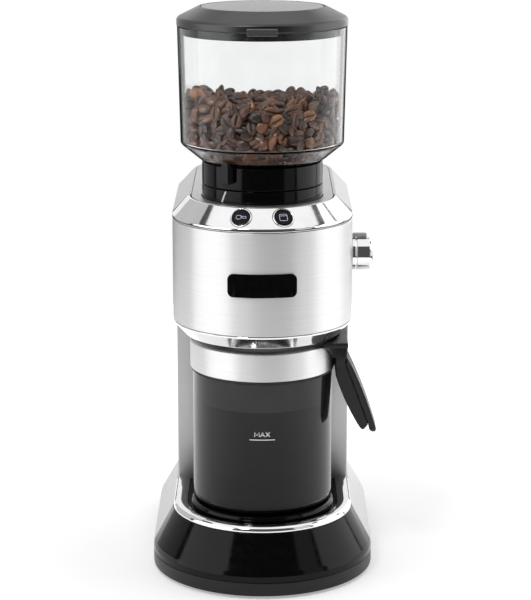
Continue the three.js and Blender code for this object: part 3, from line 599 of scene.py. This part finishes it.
def build_plate():
    """The blank name plate, curved like the cover under it."""
    half, rise, corner, rounding = 23.5, 8.0, 4.0, 0.45
    bm = bmesh.new()

    def outline(inset):
        """Points of the rounded rectangle, in the same order whatever the inset."""
        points = []
        for cx, cz, start in ((1, 1, 0), (-1, 1, 90), (-1, -1, 180), (1, -1, 270)):
            for i in range(9):
                a = math.radians(start + 90 * i / 8)
                r = corner - inset
                x = cx * (half - corner) + r * math.cos(a)
                points.append((x, cz * (rise - corner) + r * math.sin(a)))
        return points

    def bent(x, z, radius):
        a = x / BODY_R
        return Vector((radius * math.sin(a), FRONT - radius * math.cos(a), PLATE_Z + z)) * MM

    rings = []
    levels = [(0, PLATE_BACK), (0, PLATE_FACE - rounding)]
    for t in (0.5, 1.0, QUARTER):
        level = rounding * (1 - math.cos(t)), PLATE_FACE - rounding * (1 - math.sin(t))
        levels.append(level)
    for inset, radius in levels:
        rings.append([bm.verts.new(bent(x, z, radius)) for x, z in outline(inset)])
    count = len(rings[0])
    for a, b in zip(rings, rings[1:]):
        for i in range(count):
            k = (i + 1) % count
            bm.faces.new((a[i], a[k], b[k], b[i]))
    # Front and back are strips from the upper edge to the lower one, to follow the curve.
    for ring_verts, (inset, radius) in ((rings[-1], levels[-1]), (rings[0], levels[0])):
        upper, lower = ring_verts[0:18], ring_verts[18:36][::-1]
        last = (upper[0], lower[0])
        for i in range(1, 18):
            if i == 9:  # the long straight edge
                xa, xb = half - corner, corner - half
                z = rise - inset
                for j in range(1, 24):
                    x = xa + (xb - xa) * j / 24
                    now = (bm.verts.new(bent(x, z, radius)), bm.verts.new(bent(x, -z, radius)))
                    bm.faces.new((last[0], now[0], now[1], last[1]))
                    last = now
            now = (upper[i], lower[i])
            bm.faces.new((last[0], now[0], now[1], last[1]))
            last = now
    piece("name_plate_blank", mesh_of(bm), "body", "gloss_black", ["badge_plate"], sharp=60)


def button_place(x):
    """The frame of a button: X to the right, Y up the slope, Z out of the band."""
    (foot_r, foot_z), (head_r, head_z) = BAND_FOOT, BAND_HEAD
    middle_r, middle_z = (foot_r + head_r) / 2, (foot_z + head_z) / 2
    tilt = math.atan2(foot_r - head_r, head_z - foot_z)
    azimuth = math.asin(x / middle_r)
    spot = Vector((x, FRONT - middle_r * math.cos(azimuth), middle_z)) * MM
    turn = Matrix.Rotation(azimuth, 4, "Z") @ Matrix.Rotation(QUARTER - tilt, 4, "X")
    return Matrix.Translation(spot) @ turn


def build_top():
    band = soften([
        (60, 241.3), (62, 241.3, 0.5), (62, 243.4, 1.2), (*BAND_FOOT, 1.2), (*BAND_HEAD, 1.0),
        (49.6, DECK_Z), (49.6, 254.6), (59, 243.4),
    ])
    band = swept(band, arc(FRONT, -90, 90, 240))
    band = cut_plane(band, (0, FRONT - GAP, 0), (0, 1, 0))
    button_hole = [(0, -10), (7.45, -10), (7.45, 10), (0, 10)]
    for x in BUTTON_X.values():
        band = joined(band, lathe(button_hole, button_place(x), count=96))
    piece("control_band_chrome", band, "body", "chrome", ["control_band"])
    bezel = soften([(6.3, -2.4), (7.15, -2.4), (7.15, 0.3), (6.8, 0.8), (6.3, 0.6)], 0.3)
    cap = soften([(0, -7.4), (1.8, -7.4), (1.8, -3.2), (6, -3.2), (6, 0.15, 0.4), (0, 0.45)], 0.2)
    cap = [*cap[:-1], *bezier(cap[-2], (3, 0.45), (0, 0.45), 6)]  # slightly domed
    for hand, x in BUTTON_X.items():
        place, rides = button_place(x), f"{hand}_button"
        ring_mesh, cap_mesh = lathe(bezel, place, count=96), lathe(cap, place, count=96)
        piece(f"button_bezel_{hand}", ring_mesh, "body", "chrome", [f"button_ring_{hand}"])
        piece(f"button_cap_{hand}", cap_mesh, rides, "gloss_black", [f"button_{hand}"])
        piece(f"button_mark_{hand}", button_mark(hand, place), rides, "printed_blue", sharp=80)

    plate = soften([(0, 253.5), (48.6, 253.5), (48.6, DECK_Z, 0.4), (0, DECK_Z)])
    plate = swept(plate, whole_path(), True)
    bore = lathe([(0, 248), (41.9, 248), (41.9, 262), (0, 262)])
    piece("top_plate", joined(plate, bore), "body", "silver_paint", ["top_deck"], 0.2, 50)
    rim = soften([
        (59, 244), (62, 244), (62, 244.2), (61.2, 244.9, 1.2), (50.8, DECK_Z, 1.0),
        (48.9, DECK_Z), (48.9, 253.5), (50, 253.5),
    ], 0.3)
    piece("top_rim", swept(rim, rear_path(-51.5)), "body", "silver_paint")
    neck = soften([(36, 246), (NECK_R, 246), (NECK_R, 264.7, 0.5), (36, 264.7)])
    piece("neck_gloss", lathe(neck), "body", "gloss_black", ["neck"])
    mark, mark_r = [], NECK_R + 0.05
    for t in (i / 8 for i in range(9)):
        a = math.radians(-40.2 + 4.4 * t)
        mark.append((mark_r * math.sin(a), FRONT - mark_r * math.cos(a), 256.8 + 7.2 * t))
    piece("index_mark", stroke([(mark, False)], 0.65), "body", "printed_white", sharp=80)


def button_mark(hand, place):
    """Line drawings: a filter holder on the left, a lidded container on the right."""
    z = 0.42

    def rounded(x0, y0, x1, y1, r):
        points = []
        corners = (x1 - r, y1 - r), (x0 + r, y1 - r), (x0 + r, y0 + r), (x1 - r, y0 + r)
        for (cx, cy), start in zip(corners, (0, 90, 180, 270)):
            for i in range(5):
                a = math.radians(start + 22.5 * i)
                points.append((cx + r * math.cos(a), cy + r * math.sin(a), z))
        return points

    if hand == "left":
        lines = [
            (rounded(-3.3, -1.3, 0.1, 1.5, 0.9), True),
            (rounded(0.4, -0.5, 3.5, 0.9, 0.6), True),
        ]
    else:
        lines = [
            (rounded(-2.6, -2.5, 2.6, 2.4, 0.9), True),
            ([(-2.3, 1.2, z), (2.3, 1.2, z)], False),
        ]
    return stroke(lines, 0.22, place)


# ------------------------------------------------------------------ hopper
def build_hopper():
    collar = soften([
        (32.5, 250), (35.6, 250), (35.6, 265.3), (41.3, 265.3, 0.5), (41.3, 280.6, 0.9),
        (32.5, 280.6),
    ])
    piece("adjust_ring_gloss", lathe(collar), "grind_ring", "gloss_black", ["adjust_ring"])
    fin = soften([(41.6, 270), (47.6, 270), (48.6, 271), (48.6, 285, 0.8), (41.6, 280.6)], 0.5)
    place = at(0, FRONT, 0, (math.radians(POINTER_ANGLE - 90), "Z"), (QUARTER, "X"))
    fin = prism(fin, -2.5, 2.5, place)
    piece("ring_pointer_fin", fin, "grind_ring", "satin_black", ["ring_pointer"], 0.5, 40)

    hopper = soften([
        (28, 253), (30, 253), (30, 281), (41, 281, 0.6), (43.4, 282.4, 1.5), (54.8, 291.8, 2),
        (55.8, 293, 2.5), (57.6, 372, 0.4), (55.4, 372, 0.4), (53.6, 294, 2.5), (52.4, 293, 2),
        (41.5, HOPPER_FLOOR, 1.5), (28, 282.4),
    ], 0.4, 4)
    piece("hopper_clear", lathe(hopper, count=180), "bean_hopper", "clear_plastic", ["hopper"])
    piece("coffee_bean_fill", beans(), "bean_hopper", "coffee_bean", ["coffee_beans"], sharp=180)

    lid = soften([
        (52.4, 366.6), (54.2, 366.6), (54.2, 372.4), (58, 372.4, 0.5), (58, 376.6, 1.2),
        (56.8, 378.2, 1.6), (44, 384.6, 1.0), (43, 385), (42.2, 385), (42.2, 382.8), (39.5, 382.8),
        (39.5, 381.4), (52.4, 375),
    ], 0.3)
    lid = lathe(lid, count=180)
    root, back, tip = FRONT - 56, FRONT - 58.2, FRONT - 60.6
    tab = soften([
        (root, 372.8), (back, 372.8), (back, 370.4, 0.3), (tip, 370.4, 0.5), (tip, 375.4, 1.4),
        (root, 375.4),
    ], 0.2)
    upright = at(0, 0, 0, (QUARTER, "Z"), (QUARTER, "X"))
    piece("lid_frame_black", lid, "hopper_lid", "lid_black", ["lid_frame"])
    piece("lid_tab", prism(tab, -10, 10, upright), "hopper_lid", "tab_grey", bevel=0.7, sharp=40)
    window = [(0, 383.2), (41.8, 383.2), (41.8, 384.5), (41.3, 384.9, 0.3), (0, 384.9)]
    window = lathe(soften(window, 0.2), count=180)
    piece("lid_window_clear", window, "hopper_lid", "clear_window", ["lid_window"])


def wall_radius(z):
    """Inside of the hopper at a height, in millimetres."""
    return np.interp(z, *HOPPER_INSIDE)


def packed_beans(rng):
    """Centres of beans that lie on each other in the hopper, as spheres pushed apart."""
    size, count = 3.55, 1800
    steps, falling = 150, 115  # they fall fast at first, and then only settle
    z = rng.uniform(286, 368, count)
    a = rng.uniform(0, 2 * math.pi, count)
    r = np.sqrt(rng.uniform(0, 1, count)) * 51
    spots = np.stack([r * np.cos(a), r * np.sin(a), z], 1)
    for step in range(steps):
        spots[:, 2] -= 0.4 if step < falling else 0.05
        for _ in range(2):
            spots = spots[np.argsort(spots[:, 2])]
            moved = np.zeros_like(spots)
            for k in range(1, count):  # each bean against the one k places higher
                gaps = spots[k:] - spots[:-k]
                if gaps[:, 2].min() > 2 * size:
                    break
                far = np.sqrt((gaps**2).sum(1)) + 1e-6
                push = gaps * (0.28 * np.clip(2 * size - far, 0, None) / far)[:, None]
                moved[k:] += push
                moved[:-k] -= push
            spots += moved
            spots[:, 2] = np.maximum(spots[:, 2], HOPPER_FLOOR + size * 0.85)
            reach = wall_radius(spots[:, 2]) - size
            flat = np.hypot(spots[:, 0], spots[:, 1]) + 1e-6
            spots[:, :2] *= np.minimum(1, reach / flat)[:, None]
    return spots


def bean_shape():
    """One bean along X: round above, flat below with an S-shaped crease."""
    turns = [0, 30, 65, 90, 115, 150, 180, 205, 232, 252, 262, 270, 278, 288, 308, 335]
    around, along = len(turns), 8  # the turns are close together at the crease
    rows = []
    for i in range(1, along):
        u = math.pi * i / along
        for v in np.radians(turns):
            rows.append((math.cos(u), math.sin(u) * math.cos(v), math.sin(u) * math.sin(v)))
    points = np.array([(1, 0, 0), *rows, (-1, 0, 0)])
    faces = [(0, 1 + j, 1 + (j + 1) % around) for j in range(around)]
    for i in range(along - 2):
        for j in range(around):
            a, b = 1 + i * around + j, 1 + i * around + (j + 1) % around
            faces.append((a, a + around, b + around, b))
    last = len(points) - 1
    faces += [(last, last - around + (j + 1) % around, last - around + j) for j in range(around)]
    x, y, z = points.T
    under = z < 0
    aside = (y - 0.12 * np.sin(2.6 * x)) / 0.15  # from the crease's middle, in its widths
    groove = np.exp(-aside ** 2) * under * np.clip(1.15 - x**2, 0, 1)
    z = np.where(under, z * 0.5, z) + 0.5 * groove
    shape = np.stack([x * 5.2, y * 3.85 * (1 - 0.08 * x), z * 3.5], 1)
    return shape, faces, groove


def beans():
    """The outside of the heap, bean by bean, with a roast and a painted crease shade value at each
    point.
    """
    rng = np.random.default_rng(7)
    shape, faces, groove = bean_shape()
    spots = packed_beans(rng)
    flat = np.hypot(spots[:, 0], spots[:, 1])
    level = HEAP_MIDDLE + HEAP_RISE * (spots[:, 0] / 52) ** 2
    seen = (flat > wall_radius(spots[:, 2]) - BEANS_DEEP) | (spots[:, 2] > level - BEANS_DEEP)
    spots = spots[seen & (spots[:, 2] < level)]
    verts, polys, roast, crease_shade = [], [], [], []
    turn_end = 6.28  # nearly a whole turn
    for spot in spots:
        if rng.uniform() < 0.45:  # lies flat against the wall, with its crease outwards
            yaw = math.atan2(spot[1], spot[0]) + rng.normal(0, 0.3)
            angles = (yaw, rng.normal(0, 0.3) - QUARTER, rng.uniform(0, turn_end))
            axes = "ZYZ"
        else:
            angles = (rng.uniform(0, turn_end), rng.normal(0, 0.7), rng.uniform(0, turn_end))
            axes = "ZYX"
        turn = np.eye(3)
        for angle, axis in zip(angles, axes):
            turn = turn @ np.array(Matrix.Rotation(angle, 3, axis))
        body = (shape * rng.uniform(0.9, 1.1)) @ turn.T + spot
        flat = np.hypot(body[:, 0], body[:, 1])
        limit = wall_radius(body[:, 2]) - 0.35
        body[:, :2] *= np.minimum(1, limit / np.maximum(flat, 1e-6))[:, None]
        body[:, 2] = np.maximum(body[:, 2], HOPPER_FLOOR + 0.4)
        polys += [tuple(i + len(verts) for i in face) for face in faces]
        verts += (body * MM + (0, FRONT * MM, 0)).tolist()
        roast += [float(np.clip(rng.beta(2.0, 2.4), 0, 1))] * len(body)
        # how strongly painted shade darkens the crease, point by point
        crease_shade += (groove * rng.uniform(0.5, 1.0)).tolist()
    mesh = bpy.data.meshes.new("beans")
    mesh.from_pydata(verts, [], polys)
    for name, values in (("roast", roast), ("crease_shade", crease_shade)):
        mesh.attributes.new(name, "FLOAT", "POINT").data.foreach_set("value", values)
    return mesh


# ------------------------------------------------------------------ jar
def build_jar():
    jar = soften([
        (0, 39.8), (44, 39.8, 1), (47.2, 41.2, 2), (48.6, 43.8, 2), (JAR_R, 45.8, 3),
        (JAR_R, 133.8), (46.6, 133.8), (46.6, 46.8, 3), (45.2, 43.6, 2), (42.6, 42.6, 2),
        (0, 42.6),
    ], 0.4, 4)
    piece("jar_smoked", lathe(jar, count=180), "grounds_jar", "smoked_plastic", ["jar"])
    gasket = soften([(46.7, 134.1), (49.8, 134.1), (49.8, 135.5), (46.7, 135.5)])
    piece("jar_gasket_ring", lathe(gasket, count=180), "grounds_jar", "rubber", ["jar_gasket"])
    steel = soften([
        (49.2, 135.8), (50.5, 135.8, 0.6), (50.5, 155, 0.7), (46.5, 155), (46.5, 154.3),
        (49.2, 154.3),
    ], 0.3)
    piece("jar_ring_steel", lathe(steel, count=180), "grounds_jar", "brushed_steel", ["jar_ring"])
    lid = soften([
        (44, 112.8), (46.2, 112.8), (46.2, 136.1), (JAR_R, 136.1), (JAR_R, 154), (38, 154, 0.8),
        (38, 151.8), (44, 151.8),
    ])
    piece("jar_lid_black", lathe(lid, count=180), "grounds_jar", "jar_lid_grey", ["jar_lid"])
    piece("jar_print", jar_print(), "grounds_jar", "printed_white", sharp=80)
    build_handle()


def jar_print():
    """The generic fill line and its word, on the jar's wall."""
    strokes = [
        [(0, 0), (0, 1), (0.42, 0.3), (0.84, 1), (0.84, 0)],
        [(1.06, 0), (1.46, 1), (1.86, 0)], [(1.21, 0.36), (1.71, 0.36)],
        [(2.04, 1), (2.79, 0)], [(2.04, 0), (2.79, 1)],
    ]
    width, height, middle = 3.7, 3.2, 1.395  # of a unit in mm, and of the word in units
    foot_z, line_z = 97.0, 94.5
    lines = []
    for points in strokes:
        lines.append(([((x - middle) * width, y * height, 0) for x, y in points], False))
    mesh = stroke(lines, 0.25)
    for vertex in mesh.vertices:
        x, y, out = vertex.co / MM
        a, r = x / JAR_R, JAR_R + 0.08 + out
        vertex.co = Vector((r * math.sin(a), FRONT - r * math.cos(a), foot_z + y)) * MM
    low, high = line_z, line_z + 0.5
    line = [(48.84, low), (48.92, low), (48.92, high), (48.84, high)]
    return merged(mesh, swept(line, arc(FRONT, -10.3, 10.3, 16)))


def build_handle():
    """Grip and cover: two side outlines crossed, then rounded like a moulding."""
    front = [(-33, 159), (-33, 155.4)]
    front += bezier(front[-1], (-18, 150), (-14.5, 138)) + [(-12.5, 98)]
    front += bezier(front[-1], (-11.5, 86.6), (0, 86.6))
    front += [(-x, z) for x, z in front[-2::-1]]
    mask = prism(front, 42, 92, at(0, FRONT, 0, (QUARTER, "Z"), (QUARTER, "X")))
    wide, to_y = 70, at(0, FRONT + 35, 0, (QUARTER, "X"))

    grip = [(50.9, 158.8), (50.9, 131)]
    grip += bezier(grip[-1], (56.6, 112), (67.6, 93.4))
    grip += bezier(grip[-1], (69.6, 89.4), (71.4, 90.8))
    grip += [(74, 94.6)] + bezier((74, 94.6), (66.6, 116), (57.4, 140.6))
    grip += [(58.9, 144.6), (58.9, 158.8)]
    cover = [(57.4, 140)] + bezier((57.4, 140), (66.7, 115.8), (74.1, 94.4)) + [(75.1, 89.8)]
    cover += bezier((75.4, 89.8), (77, 87), (79, 88), 6)
    cover += bezier((79, 88), (80.2, 89.2), (79.6, 92), 6)
    cover += bezier((79.6, 92), (71, 121), (59.2, 143.8))

    saddle = lathe([(0, 144.4), (59.4, 144.4), (59.4, 158.8), (0, 158.8)])
    saddle = joined(saddle, slab((20, FRONT - 40, 140), (62, FRONT + 40, 160)), "INTERSECT")
    body = joined(prism(grip, 0, wide, to_y), saddle, "UNION")
    body = joined(body, lathe([(0, 60), (50.9, 60), (50.9, 170), (0, 170)]))
    body = joined(body, mask, "INTERSECT")
    shell = joined(prism(cover, 0, wide, to_y), mask, "INTERSECT")
    rounding = (
        ("REMESH", {"mode": "VOXEL", "voxel_size": 0.5 * MM}),
        ("SMOOTH", {"factor": 0.5, "iterations": 9}),
    )
    for part, mesh, look in (("grip", body, "satin_black"), ("cover", shell, "handle_black")):
        name, node = f"handle_{part}_moulded", f"handle_{part}"
        piece(name, applied(mesh, *rounding), "grounds_jar", look, [node], sharp=180)


# ------------------------------------------------------------------ dial and rear fittings
def build_dial():
    knob = soften([
        (0, 8), (3.4, 8), (3.4, 0.6), (11.4, 0.6), (11.8, 1.1), (11.8, 3.2), (11.5, 3.6),
        (11.5, 4.2), (11.8, 4.6), (11.8, 13, 0.8), (11.1, 14.3, 0.8), (9.8, 15, 0.6),
        (9.2, 14.6, 0.4), (0, 14.6),
    ], 0.25)
    knob = lathe(knob, at(*DIAL, (QUARTER, "Y")), count=128)
    piece("dial_knob_chrome", knob, "dial", "chrome", ["knob"])
    rib = [
        (63.2, 222.1), (73.2, 222.1), (73.2, 224.2), (72.4, 224.8), (63.9, 224.8), (63.2, 224.2),
    ]
    rib = prism(rib, -1.8, 1.8, at(0, DIAL[1], 0, (QUARTER, "X")))
    piece("dial_rib", rib, "dial", "silver_paint", ["knob_pointer"], 0.35, 40)


def build_rear():
    rear = COLUMN_REAR
    place = at(0, rear, GLAND_Z, (-QUARTER, "X"))
    gland = soften([
        (3.6, -6), (6, -6), (6, 0.6), (8.4, 0.6), (8.4, 2.4), (6.4, 4.4), (3.6, 4.4),
    ], 0.5)
    piece("cord_gland_rubber", lathe(gland, place, count=64), "body", "rubber", ["cord_gland"])
    flange = slab((-11.5, rear + 0.5, SWITCH_Z - 8), (11.5, rear + 2.5, SWITCH_Z + 8))
    box = slab((-9, rear - 12, SWITCH_Z - 6), (9, rear + 1, SWITCH_Z + 6))
    opening = slab((-7.4, rear - 9, SWITCH_Z - 4.9), (7.4, rear + 5, SWITCH_Z + 4.9))
    housing = joined(joined(flange, box, "UNION"), opening)
    piece("switch_frame_black", housing, "body", "satin_black", ["switch_frame"], 0.5, 40)
    key = soften([
        (-6, 4.8), (-5, 0), (-2.5, -3.5), (2.5, -3.5), (5, 0), (6, 4.8), (0, 3.4, 8),
    ], 0.5)
    key = prism(key, -4.5, 4.5, at(0, rear - 3, SWITCH_Z, (math.radians(-10), "Z")))
    piece("switch_key", key, "switch_rocker", "gloss_black", ["rocker"], 0.3, 40)


def dress_inner_parts():
    """Gives the CAD nodes that still show their materials."""
    inner = {
        "inner_plastic": ["grinding_chamber", "chassis_plate", "burr_gear", "idler_gear"],
        "satin_black": ["grounds_chute", "burr_carrier"],
        "machined_steel": [
            "burr_bearing", "burr_shaft", "idler_axle", "motor_rotor", "motor_can", "lower_burr",
            "upper_burr", "knob_shaft",
        ],
        "brass": ["shaft_bearing", "motor_pinion"],
        "circuit_board": ["control_board", "dial_sensor", "mains_board"],
    }
    for look, names in inner.items():
        for name in names:
            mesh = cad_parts[name].data
            mesh.materials.clear()
            mesh.materials.append(LOOKS[look].material)


# ------------------------------------------------------------------ studio
# Lengths here are in metres.
FLOOR_R = 0.75  # a round table top, and pale air beyond it
BOX_R, BOX_HEIGHT, BOX_Z = 1.55, 1.7, 0.8  # where the soft boxes stand, and how tall they are
MIDDLE_Y = -0.05  # the boxes stand round this point on the y axis
AIR = 0.08  # radiance of the air as the object's surfaces feel it
EYE = (0.0022, -1.4525, 0.5198)
LOOKS_AT = (0.0022, -0.0525, 0.1913)


def lamp(name, spot, aim, width, height, radiance):
    """A soft box. Radiance is in watts to the square metre and steradian."""
    light = bpy.data.lights.new(name, "AREA")
    light.shape = "RECTANGLE"
    light.size, light.size_y = width, height
    light.energy = radiance * math.pi * width * height
    obj = bpy.data.objects.new(name, light)
    obj.location = spot
    obj.rotation_euler = (Vector(aim) - Vector(spot)).to_track_quat("-Z", "Y").to_euler()
    bpy.context.scene.collection.objects.link(obj)
    return obj


def build_studio():
    # Soft boxes stand round the table: azimuth from the front in degrees, width and radiance.
    boxes = {
        "left_box": (-68, 1.7, 1.75), "left_rear_box": (-126, 1.3, 0.5),
        "right_front_box": (53, 0.6, 0.6), "right_box": (96, 1.6, 1.75),
        "right_rear_box": (142, 0.9, 1.2),
    }
    for name, (azimuth, width, radiance) in boxes.items():
        a = math.radians(azimuth)
        spot = (BOX_R * math.sin(a), MIDDLE_Y - BOX_R * math.cos(a), BOX_Z)
        lamp(name, spot, (0, MIDDLE_Y, BOX_Z), width, BOX_HEIGHT, radiance)
    lamp("top_box", (0, 0.3, 2.3), (0, 0.3, 0), 3.8, 3.0, 1.0)
    rear = lamp("rear_box", (0, 2.4, 1.1), (0, 0, 1.1), 2.8, 2.2, 0.9)
    rear.visible_transmission = False  # it would double the white behind the hopper
    lamp("key", (-0.6, -1.1, 1.6), (0, MIDDLE_Y, 0.3), 0.3, 0.3, 26)

    floor_mesh = bpy.data.meshes.new("floor")
    rim = [math.radians(5 * i) for i in range(72)]
    disc = [(FLOOR_R * math.cos(a), FLOOR_R * math.sin(a), 0) for a in rim]
    floor_mesh.from_pydata(disc, [], [tuple(range(72))])
    floor = bpy.data.objects.new("floor", floor_mesh)
    bpy.context.scene.collection.objects.link(floor)
    look = Look("floor")
    cloud = look.noise(3)
    look.set(Base_Color=look.mix(look.spread(cloud, 0, 1), grey(0.70), grey(0.72)), Roughness=0.9)
    far = look.add("ShaderNodeVectorMath", {0: look.where}, operation="LENGTH").outputs["Value"]
    # The floor glows, weakly near the middle and more strongly further out: painted light that
    # keeps the far floor white.
    look.set(Emission_Color=grey(1.0), Emission_Strength=look.spread(far, 0.36, 0.9, (0.16, 0.6)))
    floor_mesh.materials.append(look.material)

    world = bpy.data.worlds.new("studio")
    bpy.context.scene.world = world
    world.use_nodes = True
    nodes, links = world.node_tree.nodes, world.node_tree.links
    path = nodes.new("ShaderNodeLightPath")
    seen, felt = nodes.new("ShaderNodeBackground"), nodes["Background"]
    seen.inputs[0].default_value = (1, 1, 1, 1)
    felt.inputs[0].default_value = (1, 1, 1, 1)
    felt.inputs[1].default_value = AIR
    both = nodes.new("ShaderNodeMixShader")
    white = nodes.new("ShaderNodeMath")
    white.operation = "MAXIMUM"
    links.new(path.outputs["Is Camera Ray"], white.inputs[0])
    # Light that has bounced off a surface meets the dim air even behind clear plastic.
    bounces = nodes.new("ShaderNodeMath")
    links.new(path.outputs["Diffuse Depth"], bounces.inputs[0])
    links.new(path.outputs["Glossy Depth"], bounces.inputs[1])
    straight = nodes.new("ShaderNodeMath")
    straight.operation = "GREATER_THAN"
    links.new(path.outputs["Is Transmission Ray"], straight.inputs[0])
    links.new(bounces.outputs[0], straight.inputs[1])
    links.new(straight.outputs[0], white.inputs[1])
    links.new(white.outputs[0], both.inputs[0])
    links.new(felt.outputs[0], both.inputs[1])
    links.new(seen.outputs[0], both.inputs[2])
    links.new(both.outputs[0], nodes["World Output"].inputs[0])
    bpy.context.scene.view_settings.view_transform = "Standard"


def build_camera():
    camera = bpy.data.cameras.new("camera")
    camera.lens = 124
    camera.sensor_width = 36
    obj = bpy.data.objects.new("camera", camera)
    obj.location = EYE
    aim = Vector(LOOKS_AT) - Vector(obj.location)
    obj.rotation_euler = aim.to_track_quat("-Z", "Y").to_euler()
    bpy.context.scene.collection.objects.link(obj)
    bpy.context.scene.camera = obj


build_camera()
build_base()
build_body()
build_top()
build_hopper()
build_jar()
build_dial()
build_rear()
dress_inner_parts()
build_studio()
